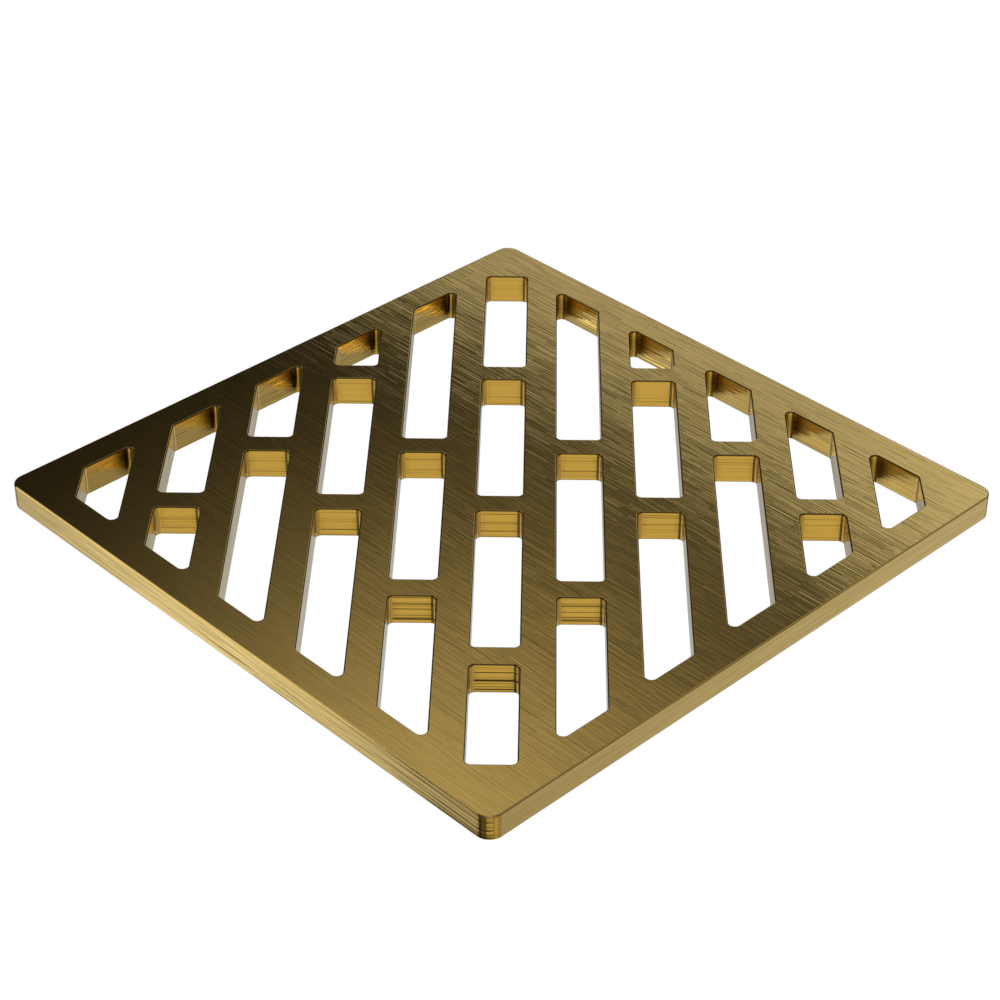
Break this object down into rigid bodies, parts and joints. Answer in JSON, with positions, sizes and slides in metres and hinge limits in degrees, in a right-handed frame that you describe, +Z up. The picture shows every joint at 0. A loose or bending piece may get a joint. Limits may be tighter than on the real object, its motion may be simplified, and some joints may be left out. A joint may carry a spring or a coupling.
{
  "type": "square floor drain grate",
  "caption": "Square brushed brass drain grate with diagonal bridged slots, a plain rim and small push-in rubber bumpers under its corners.",
  "frame": {"origin": "on the plane that the bumpers stand on, below the middle of the plate", "axes": "+Z up out of the walking face; +X and +Y along the plate's sides, so that the slots run along the diagonal from -X -Y to +X +Y"},
  "size_m": [0.0952, 0.0952, 0.0052],
  "materials": {
    "brushed_brass": "satin, brushed along one side of the plate, aged gold",
    "bumper_rubber": "matt black moulded rubber"
  },
  "bodies": {
    "root": {"grate_plate": "brushed_brass", "bumper_front": "bumper_rubber", "bumper_right": "bumper_rubber", "bumper_rear": "bumper_rubber", "bumper_left": "bumper_rubber"}
  },
  "joints": []
}
